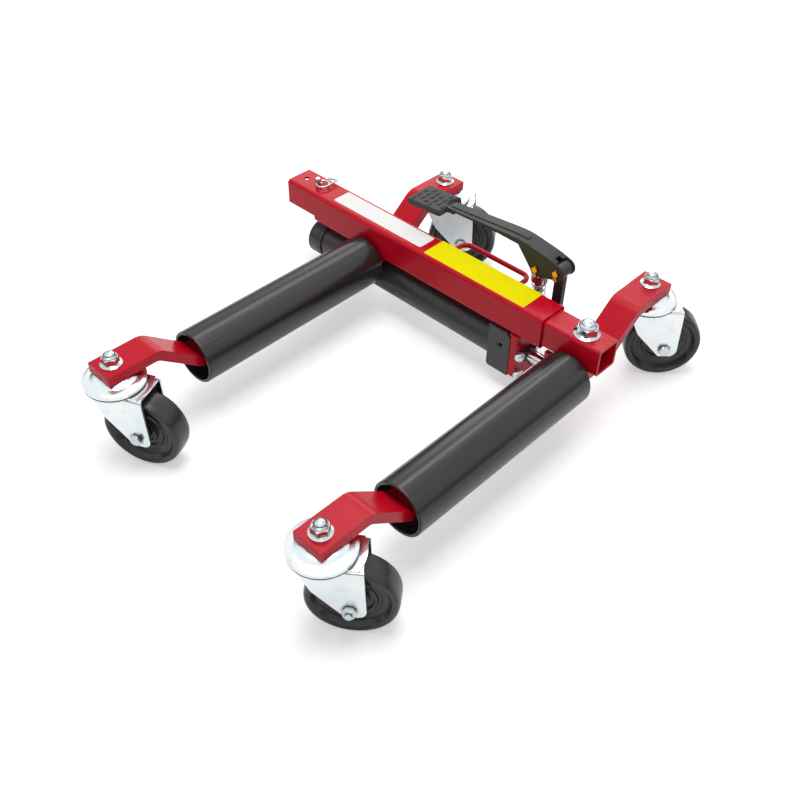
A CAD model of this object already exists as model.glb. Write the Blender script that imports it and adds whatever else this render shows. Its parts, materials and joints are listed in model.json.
"""Vehicle positioning jack: finishes, small trim, camera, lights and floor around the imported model."""

import json
import math
import random

import bpy
from mathutils import Matrix, Vector


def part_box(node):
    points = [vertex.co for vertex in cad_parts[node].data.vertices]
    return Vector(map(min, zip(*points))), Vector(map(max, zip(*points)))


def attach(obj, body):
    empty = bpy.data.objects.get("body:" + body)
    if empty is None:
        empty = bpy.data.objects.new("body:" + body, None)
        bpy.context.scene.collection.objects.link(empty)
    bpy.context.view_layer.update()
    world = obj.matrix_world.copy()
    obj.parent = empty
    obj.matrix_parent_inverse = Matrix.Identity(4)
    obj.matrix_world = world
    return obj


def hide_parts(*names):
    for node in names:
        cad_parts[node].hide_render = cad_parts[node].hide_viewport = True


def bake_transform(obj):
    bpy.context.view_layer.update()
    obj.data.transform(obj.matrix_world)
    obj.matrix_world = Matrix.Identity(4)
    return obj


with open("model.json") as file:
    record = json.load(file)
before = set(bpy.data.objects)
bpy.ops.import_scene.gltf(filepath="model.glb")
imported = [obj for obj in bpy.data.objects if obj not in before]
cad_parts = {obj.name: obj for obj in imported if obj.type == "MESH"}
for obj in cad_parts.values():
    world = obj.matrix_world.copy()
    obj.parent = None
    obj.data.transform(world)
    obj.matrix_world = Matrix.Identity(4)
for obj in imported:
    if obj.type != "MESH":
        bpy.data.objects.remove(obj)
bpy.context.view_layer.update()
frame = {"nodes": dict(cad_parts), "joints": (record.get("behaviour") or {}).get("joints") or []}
nodes = frame["nodes"]

# Lengths on the object are in millimetres, and MM turns them into Blender's metres
MM = 0.001

# The photograph's camera, fitted to points of it together with the sizes. Its place is in metres.
CAMERA_PLACE = (0.6854, -0.6874, 0.8749)
CAMERA_RIGHT = (0.72049, 0.69331, 0.0145)
CAMERA_BACK = (0.50015, -0.53402, 0.68167)
FOCAL_PIXELS = 983.71
PICTURE_PIXELS = 800
SENSOR_WIDTH = 36.0

# The two halves of the jack with the body that each rides on, and the four casters
HALVES = (("fixed", "frame"), ("moving", "slider"))
CORNERS = ("front_fixed", "front_moving", "back_fixed", "back_moving")


def extent(node, axis):
    """Lowest and highest place of a CAD node along an axis."""
    return [round(corner["xyz".index(axis)] / MM, 2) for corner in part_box(node)]


def middle(node, axis):
    """Place halfway through a CAD node along an axis."""
    return sum(extent(node, axis)) / 2


def caster_axis(corner):
    """Where the swivel axis of a caster stands, as x and y."""
    joint = next(joint for joint in frame["joints"] if joint["name"] == f"{corner}_swivel")
    return [round(place / MM, 2) for place in joint["pos_m"][:2]]


BEAM_Y = middle("outer_tube", "y")
BEAM_BACK = extent("outer_tube", "y")[1]
BEAM_BOTTOM, BEAM_TOP = extent("outer_tube", "z")


def make_camera():
    """Camera at the photograph's place."""
    data = bpy.data.cameras.new("camera")
    camera = bpy.data.objects.new("camera", data)
    bpy.context.scene.collection.objects.link(camera)
    back = Vector(CAMERA_BACK).normalized()
    up = back.cross(Vector(CAMERA_RIGHT).normalized()).normalized()
    right = up.cross(back)
    axes = Matrix((right, up, back)).transposed().to_4x4()
    camera.matrix_world = Matrix.Translation(Vector(CAMERA_PLACE)) @ axes
    data.sensor_width = SENSOR_WIDTH
    data.lens = FOCAL_PIXELS / PICTURE_PIXELS * SENSOR_WIDTH
    data.clip_start = 0.05
    data.clip_end = 40.0
    bpy.context.scene.camera = camera


# Node-building helpers: every material below is made of these. Noise scales are counts per metre.
def add_node(tree, kind, **settings):
    node = tree.nodes.new(kind)
    for name, value in settings.items():
        setattr(node, name, value)
    return node


def new_material(name, colour, roughness, metallic=0.0, specular=0.5):
    material = bpy.data.materials.new(name)
    material.use_nodes = True
    shader = material.node_tree.nodes["Principled BSDF"]
    shader.inputs["Base Color"].default_value = (*colour, 1.0)
    shader.inputs["Roughness"].default_value = roughness
    shader.inputs["Metallic"].default_value = metallic
    shader.inputs["Specular IOR Level"].default_value = specular
    material.diffuse_color = (*colour, 1.0)
    return material, material.node_tree, shader


def drive(tree, shader, socket, value):
    """Lets a value vary one of the shader's sockets over the surface."""
    tree.links.new(value, shader.inputs[socket])


def combine(tree, operation, first, second):
    """One value from two, by a Math node's operation."""
    node = add_node(tree, "ShaderNodeMath", operation=operation)
    tree.links.new(first, node.inputs[0])
    tree.links.new(second, node.inputs[1])
    return node.outputs["Value"]


def object_place(tree, stretch):
    """Object coordinates in metres, stretched along an axis where a pattern runs lengthwise."""
    coordinates = add_node(tree, "ShaderNodeTexCoord")
    mapping = add_node(tree, "ShaderNodeMapping")
    mapping.inputs["Scale"].default_value = stretch
    tree.links.new(coordinates.outputs["Object"], mapping.inputs["Vector"])
    return mapping.outputs["Vector"]


def noise(tree, scale, detail=2.0, roughness=0.5, stretch=(1.0, 1.0, 1.0)):
    node = add_node(tree, "ShaderNodeTexNoise")
    node.inputs["Scale"].default_value = scale
    node.inputs["Detail"].default_value = detail
    node.inputs["Roughness"].default_value = roughness
    tree.links.new(object_place(tree, stretch), node.inputs["Vector"])
    return node.outputs["Fac"]


def remap(tree, value, source, target):
    """Value moved from the source range to the target range, held at their ends."""
    node = add_node(tree, "ShaderNodeMapRange")
    for name, number in zip(("From Min", "From Max", "To Min", "To Max"), (*source, *target)):
        node.inputs[name].default_value = number
    tree.links.new(value, node.inputs["Value"])
    return node.outputs["Result"]


def blend_colours(tree, factor, first, second):
    """Colour that goes from first to second with the factor. Either may be a socket or three numbers."""
    node = add_node(tree, "ShaderNodeMix", data_type="RGBA")
    tree.links.new(factor, node.inputs["Factor"])
    first_socket, second_socket = [socket for socket in node.inputs if socket.type == "RGBA"]
    for socket, colour in ((first_socket, first), (second_socket, second)):
        if isinstance(colour, tuple):
            socket.default_value = (*colour, 1.0)
        else:
            tree.links.new(colour, socket)
    return next(socket for socket in node.outputs if socket.type == "RGBA")


def soft_edges(tree, radius):
    """Normal of the surface with its sharp edges rounded to a radius."""
    node = add_node(tree, "ShaderNodeBevel", samples=4)
    node.inputs["Radius"].default_value = radius * MM
    return node.outputs["Normal"]


def edge_mask(tree, radius, grain_scale, amount):
    """0 on flat faces and up to an amount in broken patches along the edges."""
    rounded = soft_edges(tree, radius)
    flat = add_node(tree, "ShaderNodeNewGeometry").outputs["Normal"]
    dot = add_node(tree, "ShaderNodeVectorMath", operation="DOT_PRODUCT")
    tree.links.new(rounded, dot.inputs[0])
    tree.links.new(flat, dot.inputs[1])
    flat_cosine, sharp_cosine = 0.995, 0.8
    edge = remap(tree, dot.outputs["Value"], (flat_cosine, sharp_cosine), (0.0, 1.0))
    patches = remap(tree, noise(tree, grain_scale, detail=3.0), (0.5, 0.62), (0.0, amount))
    return combine(tree, "MULTIPLY", edge, patches)


def crevice_mask(tree, reach, amount):
    """0 in the open and up to an amount in the gaps between pieces, where grease and dust gather."""
    node = add_node(tree, "ShaderNodeAmbientOcclusion", samples=8)
    node.inputs["Distance"].default_value = reach * MM
    return remap(tree, node.outputs["AO"], (0.88, 0.5), (0.0, amount))


def bump(tree, shader, layers, edge_radius=0.0):
    """Stacks bumps on the shader's normal. A layer is (height socket, depth)."""
    normal = soft_edges(tree, edge_radius) if edge_radius else None
    for height, depth in layers:
        node = add_node(tree, "ShaderNodeBump")
        node.inputs["Distance"].default_value = depth * MM
        tree.links.new(height, node.inputs["Height"])
        if normal is not None:
            tree.links.new(normal, node.inputs["Normal"])
        normal = node.outputs["Normal"]
    tree.links.new(normal, shader.inputs["Normal"])


# Reds of the two red paints
RED = (0.58, 0.003, 0.018)
LIGHT_RED = (0.63, 0.0034, 0.021)
DEEP_RED = (0.54, 0.0024, 0.016)


def cloudy_red(tree):
    """Slow change between the two reds, which both red paints share."""
    return blend_colours(tree, noise(tree, 14.0, detail=3.0), LIGHT_RED, DEEP_RED)


def red_paint():
    """Gloss red powder coat of the frame: slight orange peel, rounded edges and a few scuffs."""
    material, tree, shader = new_material("red_paint", RED, roughness=0.2, specular=0.21)
    tone = cloudy_red(tree)
    worn = edge_mask(tree, radius=0.9, grain_scale=90.0, amount=0.5)
    drive(tree, shader, "Base Color", blend_colours(tree, worn, tone, (0.36, 0.008, 0.016)))
    drive(tree, shader, "Roughness", remap(tree, noise(tree, 60.0, detail=4.0), (0.35, 0.7), (0.16, 0.26)))
    peel = noise(tree, 420.0, detail=1.0)
    waves = noise(tree, 70.0, detail=1.0)
    bump(tree, shader, [(waves, 0.08), (peel, 0.02)], edge_radius=0.9)
    return material


def sliding_red_paint():
    """Red coat of the sliding tube, with fine lengthwise rub marks."""
    material, tree, shader = new_material("sliding_red_paint", RED, roughness=0.2, specular=0.23)
    rubs = noise(tree, 240.0, stretch=(0.04, 1.0, 1.0))
    tone = cloudy_red(tree)
    lines = remap(tree, rubs, (0.62, 0.75), (0.0, 0.5))
    drive(tree, shader, "Base Color", blend_colours(tree, lines, tone, (0.44, 0.01, 0.02)))
    drive(tree, shader, "Roughness", remap(tree, rubs, (0.4, 0.7), (0.16, 0.30)))
    bump(tree, shader, [(noise(tree, 70.0, detail=1.0), 0.08), (rubs, 0.02)], edge_radius=0.8)
    return material


def roller_paint():
    """Dark grey coat of the rollers, glossy, with the drawn tube's lengthwise streaks."""
    grey = (0.022, 0.022, 0.024)
    material, tree, shader = new_material("roller_paint", grey, roughness=0.22, specular=0.54)
    fine = noise(tree, 260.0, stretch=(1.0, 0.02, 1.0))
    broad = noise(tree, 75.0, detail=1.5, stretch=(1.0, 0.03, 1.0))
    bands = remap(tree, broad, (0.38, 0.62), (0.0, 1.0))
    tone = blend_colours(tree, bands, (0.017, 0.017, 0.019), (0.027, 0.027, 0.029))
    worn = edge_mask(tree, radius=1.2, grain_scale=70.0, amount=0.35)
    drive(tree, shader, "Base Color", blend_colours(tree, worn, tone, (0.10, 0.10, 0.105)))
    drive(tree, shader, "Roughness", remap(tree, fine, (0.35, 0.65), (0.16, 0.28)))
    grain = noise(tree, 900.0, detail=1.0)
    bump(tree, shader, [(broad, 0.6), (fine, 0.05), (grain, 0.006)], edge_radius=1.2)
    return material


def black_enamel():
    """Black enamel of the ram, the pump block, the link and the axles."""
    material, tree, shader = new_material("black_enamel", (0.034, 0.034, 0.036), roughness=0.34)
    cloud = noise(tree, 35.0, detail=3.0)
    tone = blend_colours(tree, cloud, (0.040, 0.040, 0.042), (0.028, 0.028, 0.030))
    worn = edge_mask(tree, radius=1.0, grain_scale=80.0, amount=0.5)
    drive(tree, shader, "Base Color", blend_colours(tree, worn, tone, (0.13, 0.125, 0.12)))
    drive(tree, shader, "Roughness", remap(tree, noise(tree, 90.0, detail=3.0), (0.3, 0.7), (0.26, 0.44)))
    bump(tree, shader, [(noise(tree, 300.0), 0.06)], edge_radius=1.0)
    return material


def pedal_coat():
    """Black powder coat of the pressed pedal lever."""
    material, tree, shader = new_material("pedal_coat", (0.031, 0.031, 0.030), roughness=0.4, specular=0.32)
    cloud = noise(tree, 40.0, detail=3.0)
    tone = blend_colours(tree, cloud, (0.035, 0.035, 0.034), (0.026, 0.026, 0.026))
    worn = edge_mask(tree, radius=1.0, grain_scale=110.0, amount=0.5)
    drive(tree, shader, "Base Color", blend_colours(tree, worn, tone, (0.16, 0.155, 0.15)))
    drive(tree, shader, "Roughness", remap(tree, noise(tree, 160.0, detail=3.0), (0.3, 0.7), (0.32, 0.5)))
    bump(tree, shader, [(noise(tree, 650.0), 0.05)], edge_radius=0.8)
    return material


def bright_zinc(name, rough, tone):
    """Bright zinc plate with faint blue clouds, pale stains and dark gaps; tone scales all but the gaps."""
    pale = (0.92 * tone, 0.94 * tone, 0.94 * tone)
    blue = (0.81 * tone, 0.90 * tone, 0.94 * tone)
    stain = (0.72 * tone, 0.69 * tone, 0.62 * tone)
    material, tree, shader = new_material(name, pale, roughness=rough, metallic=1.0)
    cloud = remap(tree, noise(tree, 38.0, detail=3.0), (0.35, 0.65), (0.0, 1.0))
    plated = blend_colours(tree, cloud, blue, pale)
    stains = remap(tree, noise(tree, 55.0, detail=3.0, roughness=0.6), (0.58, 0.74), (0.0, 0.55))
    stained = blend_colours(tree, stains, plated, stain)
    grime = crevice_mask(tree, reach=6.0, amount=0.85)
    drive(tree, shader, "Base Color", blend_colours(tree, grime, stained, (0.10, 0.10, 0.11)))
    polish = remap(tree, noise(tree, 90.0), (0.3, 0.7), (rough - 0.03, rough + 0.04))
    drive(tree, shader, "Roughness", polish)
    layers = [(noise(tree, 30.0, detail=1.0), 0.12), (noise(tree, 420.0, detail=1.0), 0.004)]
    bump(tree, shader, layers, edge_radius=0.6)
    return material


def yellow_zinc():
    """Yellow passivated zinc of the cross pins."""
    material, tree, shader = new_material("yellow_zinc", (0.85, 0.42, 0.10), roughness=0.26, metallic=1.0)
    cloud = noise(tree, 300.0, detail=3.0)
    drive(tree, shader, "Base Color", blend_colours(tree, cloud, (0.92, 0.50, 0.12), (0.76, 0.33, 0.09)))
    drive(tree, shader, "Roughness", remap(tree, cloud, (0.3, 0.7), (0.2, 0.34)))
    bump(tree, shader, [(noise(tree, 900.0, detail=1.0), 0.01)], edge_radius=0.4)
    return material


def hard_chrome():
    """Ground hard chrome of the rod, plunger and stop pin."""
    material, tree, shader = new_material("hard_chrome", (0.60, 0.61, 0.63), roughness=0.08, metallic=1.0)
    turns = noise(tree, 700.0, detail=1.0, stretch=(1.0, 0.05, 0.05))
    drive(tree, shader, "Roughness", remap(tree, turns, (0.3, 0.7), (0.05, 0.13)))
    tone = blend_colours(tree, noise(tree, 60.0), (0.56, 0.57, 0.60), (0.64, 0.64, 0.65))
    grime = crevice_mask(tree, reach=4.0, amount=0.8)
    drive(tree, shader, "Base Color", blend_colours(tree, grime, tone, (0.08, 0.08, 0.08)))
    bump(tree, shader, [(turns, 0.004)], edge_radius=0.4)
    return material


def spring_wire():
    """Oiled spring wire."""
    material, tree, shader = new_material("spring_wire", (0.62, 0.63, 0.65), roughness=0.28, metallic=1.0)
    cloud = noise(tree, 260.0, detail=3.0)
    drive(tree, shader, "Base Color", blend_colours(tree, cloud, (0.55, 0.56, 0.58), (0.72, 0.73, 0.75)))
    drive(tree, shader, "Roughness", remap(tree, cloud, (0.3, 0.7), (0.2, 0.38)))
    bump(tree, shader, [(noise(tree, 900.0, detail=1.0), 0.01)])
    return material


def black_oxide():
    """Black oxide of the socket plug."""
    material, tree, shader = new_material("black_oxide", (0.07, 0.07, 0.075), roughness=0.36, metallic=0.7)
    cloud = noise(tree, 500.0, detail=3.0)
    drive(tree, shader, "Base Color", blend_colours(tree, cloud, (0.05, 0.05, 0.055), (0.10, 0.10, 0.105)))
    drive(tree, shader, "Roughness", remap(tree, cloud, (0.3, 0.7), (0.28, 0.46)))
    bump(tree, shader, [(noise(tree, 1200.0, detail=1.0), 0.01)], edge_radius=0.3)
    return material


def wheel_nylon():
    """Black moulded nylon of the caster wheels, with a little dust."""
    black, dusty = (0.027, 0.027, 0.029), (0.050, 0.049, 0.048)
    material, tree, shader = new_material("wheel_nylon", black, roughness=0.26)
    dust = remap(tree, noise(tree, 80.0, detail=4.0, roughness=0.65), (0.5, 0.78), (0.0, 0.16))
    drive(tree, shader, "Base Color", blend_colours(tree, dust, black, dusty))
    drive(tree, shader, "Roughness", remap(tree, noise(tree, 90.0), (0.3, 0.7), (0.22, 0.30)))
    layers = [(noise(tree, 60.0, detail=1.0), 0.02), (noise(tree, 1300.0, detail=1.0), 0.006)]
    bump(tree, shader, layers, edge_radius=0.8)
    return material


def pad_rubber():
    """Matt rubber of the foot pad."""
    black, dusty = (0.037, 0.037, 0.038), (0.070, 0.069, 0.067)
    material, tree, shader = new_material("pad_rubber", black, roughness=0.62)
    dust = remap(tree, noise(tree, 130.0, detail=4.0, roughness=0.6), (0.45, 0.8), (0.0, 0.5))
    drive(tree, shader, "Base Color", blend_colours(tree, dust, black, dusty))
    drive(tree, shader, "Roughness", remap(tree, noise(tree, 400.0, detail=3.0), (0.3, 0.7), (0.52, 0.74)))
    bump(tree, shader, [(noise(tree, 1500.0), 0.04)], edge_radius=0.7)
    return material


def bush_plastic():
    """Dark plastic of the plain bushes, also the grease in the caster races."""
    material, tree, shader = new_material("bush_plastic", (0.05, 0.05, 0.052), roughness=0.45)
    cloud = noise(tree, 220.0, detail=3.0)
    tone = blend_colours(tree, cloud, (0.045, 0.045, 0.047), (0.062, 0.062, 0.063))
    drive(tree, shader, "Base Color", tone)
    drive(tree, shader, "Roughness", remap(tree, cloud, (0.3, 0.7), (0.38, 0.52)))
    bump(tree, shader, [(noise(tree, 1100.0, detail=1.0), 0.02)], edge_radius=0.5)
    return material


def vinyl(name, colour, cloud_colour, specular):
    """Vinyl of the blank stickers: satin, with a slight ripple from the surface below."""
    material, tree, shader = new_material(name, colour, roughness=0.4, specular=specular)
    cloud = noise(tree, 45.0, detail=4.0)
    drive(tree, shader, "Base Color", blend_colours(tree, cloud, colour, cloud_colour))
    drive(tree, shader, "Roughness", remap(tree, noise(tree, 120.0, detail=3.0), (0.3, 0.7), (0.28, 0.42)))
    bump(tree, shader, [(noise(tree, 90.0), 0.08)])
    return material


def ring_nylon(name, colour):
    """Nylon rings in the lock nuts."""
    material, tree, shader = new_material(name, colour, roughness=0.4)
    cloud = noise(tree, 500.0)
    darker = tuple(0.8 * part for part in colour)
    drive(tree, shader, "Base Color", blend_colours(tree, cloud, colour, darker))
    drive(tree, shader, "Roughness", remap(tree, cloud, (0.3, 0.7), (0.34, 0.5)))
    return material


FINISH = {
    "red": red_paint(),
    "sliding_red": sliding_red_paint(),
    "roller": roller_paint(),
    "enamel": black_enamel(),
    "pedal": pedal_coat(),
    "zinc": bright_zinc("bright_zinc", rough=0.19, tone=1.0),
    "fastener": bright_zinc("fastener_zinc", rough=0.08, tone=0.76),
    "yellow": yellow_zinc(),
    "chrome": hard_chrome(),
    "spring": spring_wire(),
    "oxide": black_oxide(),
    "nylon": wheel_nylon(),
    "rubber": pad_rubber(),
    "bush": bush_plastic(),
    "white_vinyl": vinyl("white_vinyl", (0.95, 0.93, 0.90), (0.90, 0.88, 0.85), specular=0.05),
    "yellow_vinyl": vinyl("yellow_vinyl", (0.95, 0.84, 0.001), (0.90, 0.79, 0.001), specular=0.02),
    "dark_ring": ring_nylon("dark_nut_ring", (0.06, 0.065, 0.075)),
    "blue_ring": ring_nylon("blue_nut_ring", (0.12, 0.18, 0.42)),
}


def both(stem):
    """Names of a node that both halves of the jack have."""
    return [f"{half}_{stem}" for half, _ in HALVES]


def all_four(stem):
    """Names of a node that all four casters have."""
    return [f"{corner}_{stem}" for corner in CORNERS]


def paint(finish, names):
    for name in names:
        mesh = nodes[name].data
        mesh.materials.clear()
        mesh.materials.append(FINISH[finish])


def paint_nodes():
    """Gives every CAD node its finish."""
    paint("red", ["outer_tube", "ram_mount_plate", "carry_handle", "spacer_plate", "rod_lug"])
    paint("red", both("front_arm") + both("back_arm"))
    paint("sliding_red", ["inner_tube"])
    paint("roller", both("roller"))
    paint("bush", both("roller_bushes"))
    paint("enamel", ["ram_cylinder", "ram_end_cap", "pump_block", "rod_gland", "pump_barrel"])
    paint("enamel", ["release_valve", "pump_link", "plunger_head"] + both("axle"))
    paint("pedal", ["pedal_lever", "pad_plate"])
    paint("rubber", ["foot_pad"])
    paint("oxide", ["socket_plug"])
    paint("zinc", both("swivel_caps") + all_four("fork"))
    paint("fastener", both("kingpins") + both("kingpin_nuts") + all_four("axle_bolt"))
    paint("fastener", ["slider_bolt", "slider_nut", "rod_nut", "block_bolts"])
    paint("nylon", all_four("wheel"))
    paint("yellow", ["link_pin", "lever_pin", "head_pin"])
    paint("chrome", ["ram_rod", "piston", "pump_plunger", "spring_cup", "stop_pin", "pin_clip"])
    paint("spring", ["return_spring"])


# Mesh helpers for the trim
def add_piece(name, vertices, faces, finish, body=None, smooth=True):
    """New mesh with a finish, which rides on a body where one is named."""
    mesh = bpy.data.meshes.new(name)
    mesh.from_pydata([Vector(place) * MM for place in vertices], [], faces)
    mesh.polygons.foreach_set("use_smooth", [smooth] * len(mesh.polygons))
    mesh.materials.append(FINISH[finish])
    mesh.validate()
    piece = bpy.data.objects.new(name, mesh)
    bpy.context.scene.collection.objects.link(piece)
    if body:
        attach(piece, body)
    return piece


def ring_grid(rows, columns, closed):
    """Faces of a tube of rows of vertices, joined end to end where closed and else with flat ends."""
    faces = []
    for i in range(rows if closed else rows - 1):
        here = i * columns
        there = (i + 1) % rows * columns
        for j in range(columns):
            after = (j + 1) % columns
            faces.append((here + j, here + after, there + after, there + j))
    if not closed:
        faces.append(tuple(reversed(range(columns))))
        faces.append(tuple((rows - 1) * columns + j for j in range(columns)))
    return faces


def circle(count):
    """Directions round a circle, as cosine and sine."""
    angles = [math.tau * i / count for i in range(count)]
    return [(math.cos(angle), math.sin(angle)) for angle in angles]


def resample(points, step, closed):
    """Points an even step apart along straight runs."""
    ends = points + [points[0]] if closed else points
    result = []
    for start, end in zip(ends, ends[1:]):
        count = max(1, round((end - start).length / step))
        result += [start.lerp(end, i / count) for i in range(count)]
    return result if closed else result + [points[-1]]


def weld_bead(name, points, body, radius, seed, closed=False):
    """Rippled bead along a path, under the paint, thinner at its open ends."""
    step, sides = 1.4, 10
    ripple, ripple_turn, scatter, end_share = 0.13, 2.1, 0.06, 0.45
    path = resample([Vector(place) for place in points], step, closed)
    last = len(path) - 1
    dice = random.Random(seed)
    vertices = []
    for i, point in enumerate(path):
        before = path[i - 1] if i or closed else path[0]
        after = path[(i + 1) % len(path)] if i < last or closed else path[last]
        along = (after - before).normalized()
        level = abs(along.z) < 0.9
        across = along.cross(Vector((0, 0, 1)) if level else Vector((1, 0, 0))).normalized()
        other = along.cross(across)
        swell = radius * (1 + ripple * math.sin(i * ripple_turn) + dice.uniform(-scatter, scatter))
        if not closed and i in (0, last):
            swell *= end_share
        vertices += [point + swell * (cosine * across + sine * other) for cosine, sine in circle(sides)]
    return add_piece(name, vertices, ring_grid(len(path), sides, closed), "red", body)


def lathe(name, foot, profile, finish, body, closed, columns=48, lying=False):
    """Turned piece, upright or lying along X: a closed ring, or a stack of circles with flat ends."""
    vertices = []
    for radius, height in profile:
        for cosine, sine in circle(columns):
            across = (radius * cosine, radius * sine)
            offset = (height, *across) if lying else (*across, height)
            vertices.append(Vector(foot) + Vector(offset))
    return add_piece(name, vertices, ring_grid(len(profile), columns, closed), finish, body)


# Welds where the painted steel meets
def add_slot_welds():
    """Beads round the arms where they pass through the end discs of the axles."""
    sunk_front, sunk_back = 0.2, 0.8
    for half, body in HALVES:
        axle_front, axle_back = extent(f"{half}_axle", "y")
        left, right = extent(f"{half}_front_arm", "x")
        low = extent(f"{half}_front_arm", "z")[0]
        for end, y in (("front", axle_front + sunk_front), ("back", axle_back - sunk_back)):
            name = f"{half}_{end}_slot_weld"
            slot = [(left, y, low), (right, y, low), (right, y, BEAM_BOTTOM), (left, y, BEAM_BOTTOM)]
            weld_bead(name, slot, body, radius=1.6, seed=len(name), closed=True)


def add_plate_welds():
    """Two short beads on either face of the ram's plate, under the beam."""
    reach, from_middle, drop = 9, 16, 0.4
    z = BEAM_BOTTOM - drop
    for number, y in ((1, BEAM_Y - from_middle), (3, BEAM_Y + from_middle)):
        for face, x in zip(("left", "right"), extent("ram_mount_plate", "x")):
            ends = [(x, y - reach, z), (x, y + reach, z)]
            weld_bead(f"plate_{face}_weld_{number}", ends, "frame", radius=2.0, seed=number + 5)


def add_arm_welds():
    """A bead along either edge of the fixed arm, where it crosses under the beam."""
    reach = 17
    for number, edge in zip((1, 3), extent("fixed_front_arm", "x")):
        ends = [(edge, BEAM_Y - reach, BEAM_BOTTOM), (edge, BEAM_Y + reach, BEAM_BOTTOM)]
        weld_bead(f"fixed_arm_weld_{number}", ends, "frame", radius=2.2, seed=number + 9)


def add_handle_welds():
    """A ring round either end of the carry handle, on the back of the beam."""
    left, right = extent("carry_handle", "x")
    low, high = extent("carry_handle", "z")
    rod = (high - low) / 2
    ring = rod + 0.5
    y = BEAM_BACK + 0.3
    for number, x in ((1, left + rod), (2, right - rod)):
        path = [(x + ring * cosine, y, low + rod + ring * sine) for cosine, sine in circle(16)]
        weld_bead(f"handle_weld_{number}", path, "frame", radius=1.3, seed=number, closed=True)


# Bolt ends that stand out of the lock nuts: the dome's own height, how far its top is above the nut, and
# the size of each of its circles as a share of its edge
DOME_HEIGHT = 2.4
DOME_TOP = 3.0
DOME_STEPS = (1.0, 0.92, 0.8, 0.65, 0.5, 0.35, 0.2, 0.08)


def nut_top(name, place, bolt, ring_finish, body):
    """Nylon ring and domed bolt end at a place on a nut's top, for a bolt of a given radius."""
    # Radius and height of each corner of the ring's section
    ring = [(bolt, -0.7), (bolt + 1.0, -0.5), (bolt + 0.8, 0.15), (bolt + 0.3, 0.3), (bolt, 0.2)]
    lathe(f"{name}_ring", place, ring, ring_finish, body, closed=True)
    edge = bolt - 0.15
    sphere = (edge**2 + DOME_HEIGHT**2) / (2 * DOME_HEIGHT)
    radii = [edge * step for step in DOME_STEPS]
    crown = [(radius, math.sqrt(sphere**2 - radius**2) - sphere + DOME_TOP) for radius in radii]
    lathe(f"{name}_bolt_end", place, [(edge, -0.4)] + crown, "fastener", body, closed=False)


def add_nut_tops():
    """Tops of the lock nuts on the four kingpins and on the sliding tube's bolt."""
    kingpin_radius, slider_bolt_radius = 6.0, 8.0
    for half, body in HALVES:
        height = extent(f"{half}_kingpin_nuts", "z")[1]
        for end in ("front", "back"):
            place = (*caster_axis(f"{end}_{half}"), height)
            nut_top(f"{half}_{end}_nut", place, kingpin_radius, "dark_ring", body)
    place = (middle("slider_nut", "x"), BEAM_Y, extent("slider_nut", "z")[1])
    nut_top("slider_nut", place, slider_bolt_radius, "blue_ring", "slider")


def add_race_gaps():
    """Dark grease gap of the ball race, seen as a line under a caster's cap."""
    left, right = extent("fixed_swivel_caps", "x")
    lip = extent("fixed_swivel_caps", "z")[0]
    inner, outer = 34.0, (right - left) / 2 - 0.2
    low, high = lip - 2.0, lip + 0.1
    profile = [(inner, low), (outer, low), (outer, high), (inner, high)]
    for corner in CORNERS:
        foot = (*caster_axis(corner), 0.0)
        lathe(f"{corner}_race_gap", foot, profile, "bush", f"{corner}_fork", closed=True, columns=72)


def add_cap_band():
    """Enamelled band that lies flush in the groove of the ram's end cap."""
    # The groove's sides lie this far from the cap's left end
    groove_left, groove_right, depth = 18.0, 21.0, 1.6
    gap, slant = 0.04, 0.5
    axis_z = middle("ram_rod", "z")
    radius = axis_z - extent("ram_end_cap", "z")[0]
    outer, inner = radius - gap, radius - depth
    left_side = [(inner, groove_left + slant), (outer, groove_left + gap)]
    right_side = [(outer, groove_right - gap), (inner, groove_right - slant)]
    foot = (extent("ram_end_cap", "x")[0], BEAM_Y, axis_z)
    profile = left_side + right_side
    lathe("ram_cap_band", foot, profile, "enamel", "frame", closed=True, columns=96, lying=True)


def add_spring():
    """Coil that shortens between the pump's barrel and the spring cup as the plunger goes down."""
    wire, turns, steps, sides = 1.1, 4.5, 144, 12
    gap, cup_roof = 0.2, 2.0
    left, right = extent("return_spring", "x")
    radius = (right - left) / 2 - wire
    low = extent("pump_barrel", "z")[1] + wire + gap
    high = extent("spring_cup", "z")[1] - cup_roof - wire - gap
    foot = Vector((middle("return_spring", "x"), middle("return_spring", "y"), low))
    climb = Vector((0.0, 0.0, high - low))
    sweep = math.tau * turns
    vertices = []
    for i in range(steps + 1):
        share = i / steps
        outward = Vector((math.cos(sweep * share), math.sin(sweep * share), 0.0))
        along = Vector((-outward.y, outward.x, climb.z / (sweep * radius))).normalized()
        across = along.cross(outward)
        centre = foot + radius * outward + share * climb
        vertices += [centre + wire * (cosine * outward + sine * across) for cosine, sine in circle(sides)]
    coil = add_piece("return_spring_coil", vertices, ring_grid(steps + 1, sides, False), "spring")
    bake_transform(coil)
    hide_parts("return_spring")


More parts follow.
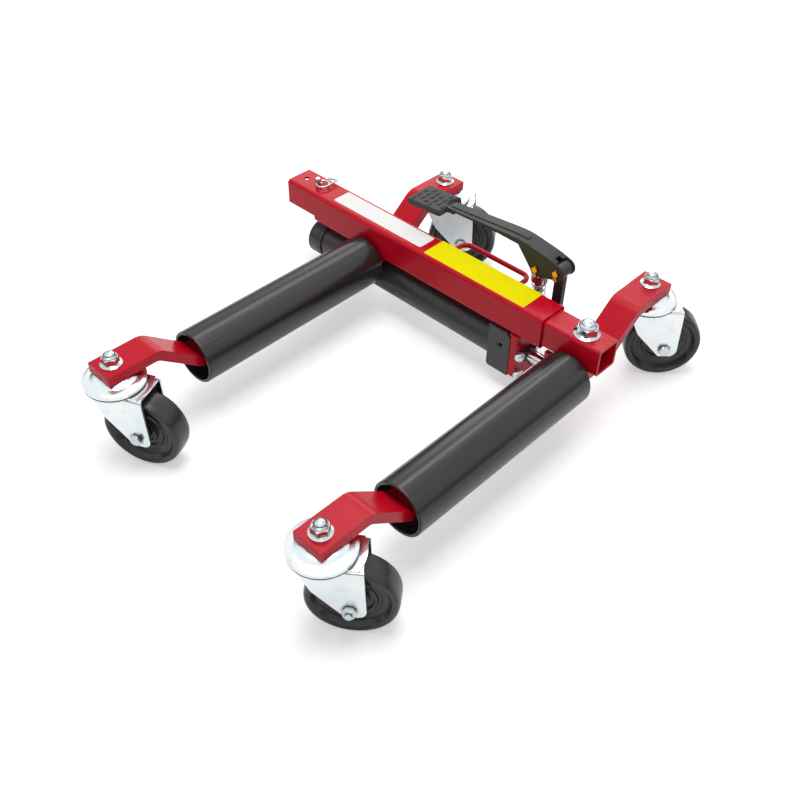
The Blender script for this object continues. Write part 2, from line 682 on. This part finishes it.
def sticker(name, x_range, y_range, corner, finish):
    """Blank vinyl sheet with round corners that lies on the beam's top."""
    steps = 6
    # Share of the full outline, and height above the beam
    layers = [(1.0, 0.0), (1.0, 0.12), (0.99, 0.18)]
    (left, right), (front, back) = x_range, y_range
    centre = Vector(((left + right) / 2, (front + back) / 2, 0.0))
    outline = []
    for side_x, side_y, start in ((1, 1, 0), (-1, 1, 90), (-1, -1, 180), (1, -1, 270)):
        bend_x = (right if side_x > 0 else left) - side_x * corner
        bend_y = (back if side_y > 0 else front) - side_y * corner
        for step in range(steps + 1):
            angle = math.radians(start + 90 * step / steps)
            outline.append((bend_x + corner * math.cos(angle), bend_y + corner * math.sin(angle), 0.0))
    vertices = []
    for share, lift in layers:
        rise = Vector((0.0, 0.0, BEAM_TOP + lift))
        vertices += [centre + (Vector(place) - centre) * share + rise for place in outline]
    add_piece(name, vertices, ring_grid(len(layers), len(outline), False), finish, "frame", smooth=False)


def add_stickers():
    """Blank sheets where the photograph shows the two labels."""
    sticker("white_sticker", (-207.0, -41.0), (121.2, 150.4), 3.0, "white_vinyl")
    sticker("yellow_sticker", (-30.0, 137.0), (116.0, 154.5), 1.5, "yellow_vinyl")


# Floor, in metres. To the camera it glows more from a near to a far distance from the object's middle,
# so that it turns white, and metal sees it glow a little.
FLOOR_HALF = 6.0
FLOOR_GREY = 0.88
NEAR, NEAR_GLOW = 0.7, 0.44
FAR, FAR_GLOW = 2.2, 1.0
METAL_GLOW = 0.22


def add_floor():
    """Pale floor that keeps the object's shadow."""
    mesh = bpy.data.meshes.new("floor")
    signs = ((-1, -1), (1, -1), (1, 1), (-1, 1))
    corners = [(FLOOR_HALF * x, FLOOR_HALF * y, 0.0) for x, y in signs]
    mesh.from_pydata(corners, [], [(0, 1, 2, 3)])
    mesh.materials.append(floor_material())
    floor = bpy.data.objects.new("floor", mesh)
    bpy.context.scene.collection.objects.link(floor)


def floor_material():
    """Matt grey that glows as the values above say."""
    material, tree, shader = new_material("floor", (FLOOR_GREY,) * 3, roughness=0.9, specular=0.0)
    path = add_node(tree, "ShaderNodeLightPath")
    in_metal = remap(tree, path.outputs["Is Glossy Ray"], (0.0, 1.0), (0.0, METAL_GLOW))
    distance = add_node(tree, "ShaderNodeVectorMath", operation="LENGTH")
    tree.links.new(add_node(tree, "ShaderNodeTexCoord").outputs["Object"], distance.inputs[0])
    faded = remap(tree, distance.outputs["Value"], (NEAR, FAR), (NEAR_GLOW, FAR_GLOW))
    direct = combine(tree, "MULTIPLY", path.outputs["Is Camera Ray"], faded)
    glow = combine(tree, "MAXIMUM", direct, in_metal)
    shader.inputs["Emission Color"].default_value = (1.0, 1.0, 1.0, 1.0)
    drive(tree, shader, "Emission Strength", glow)
    return material


# Strength of the surround, as light on the object and as metal sees it at the horizon. The rise is the
# height of the direction, from 0 level to 1 straight up, over which metal sees it grow to white.
ROOM_LIGHT = 0.34
HORIZON_LIGHT = 0.12
HORIZON_RISE = (0.05, 0.4)


def add_world():
    """White to the camera; in metal a darker band along the horizon draws its edges."""
    world = bpy.data.worlds.new("studio")
    bpy.context.scene.world = world
    world.use_nodes = True
    tree = world.node_tree
    background = tree.nodes["Background"]
    background.inputs["Color"].default_value = (1.0, 1.0, 1.0, 1.0)
    path = add_node(tree, "ShaderNodeLightPath")
    direction = add_node(tree, "ShaderNodeSeparateXYZ")
    tree.links.new(add_node(tree, "ShaderNodeTexCoord").outputs["Generated"], direction.inputs[0])
    in_metal = remap(tree, direction.outputs["Z"], HORIZON_RISE, (HORIZON_LIGHT, 1.0))
    direct = combine(tree, "MAXIMUM", path.outputs["Is Camera Ray"], path.outputs["Is Transmission Ray"])
    strength = add_node(tree, "ShaderNodeMix")
    tree.links.new(path.outputs["Is Glossy Ray"], strength.inputs["Factor"])
    tree.links.new(remap(tree, direct, (0.0, 1.0), (ROOM_LIGHT, 1.0)), strength.inputs["A"])
    tree.links.new(in_metal, strength.inputs["B"])
    tree.links.new(strength.outputs["Result"], background.inputs["Strength"])


def add_softbox(name, place, aim, size, watts):
    """Rectangular lamp at a place in metres, turned to what it aims at."""
    data = bpy.data.lights.new(name, "AREA")
    data.shape = "RECTANGLE"
    data.size, data.size_y = size
    data.energy = watts
    lamp = bpy.data.objects.new(name, data)
    bpy.context.scene.collection.objects.link(lamp)
    lamp.location = place
    lamp.rotation_mode = "QUATERNION"
    lamp.rotation_quaternion = (Vector(aim) - Vector(place)).to_track_quat("-Z", "Y")


def add_lights():
    """Three lamps aim at the object. A strip looks down, its aim a hair aside, which sets its turn."""
    jack = (0.0, 0.0, 0.1)
    below_strip = (-1.0, 1.651, 0.0)
    add_softbox("key_softbox", (0.05, 0.0, 2.3), jack, size=(1.2, 1.2), watts=27.0)
    add_softbox("left_softbox", (-1.3, 2.1, 0.9), jack, size=(2.2, 1.4), watts=11.5)
    add_softbox("strip_softbox", (-1.0, 1.65, 2.3), below_strip, size=(0.7, 2.2), watts=11.0)
    add_softbox("front_softbox", (1.2, -1.9, 1.2), jack, size=(1.4, 1.0), watts=3.0)


bpy.context.scene.view_settings.view_transform = "Standard"
make_camera()
add_world()
add_lights()
add_floor()
paint_nodes()
add_slot_welds()
add_plate_welds()
add_arm_welds()
add_handle_welds()
add_nut_tops()
add_race_gaps()
add_cap_band()
add_spring()
add_stickers()
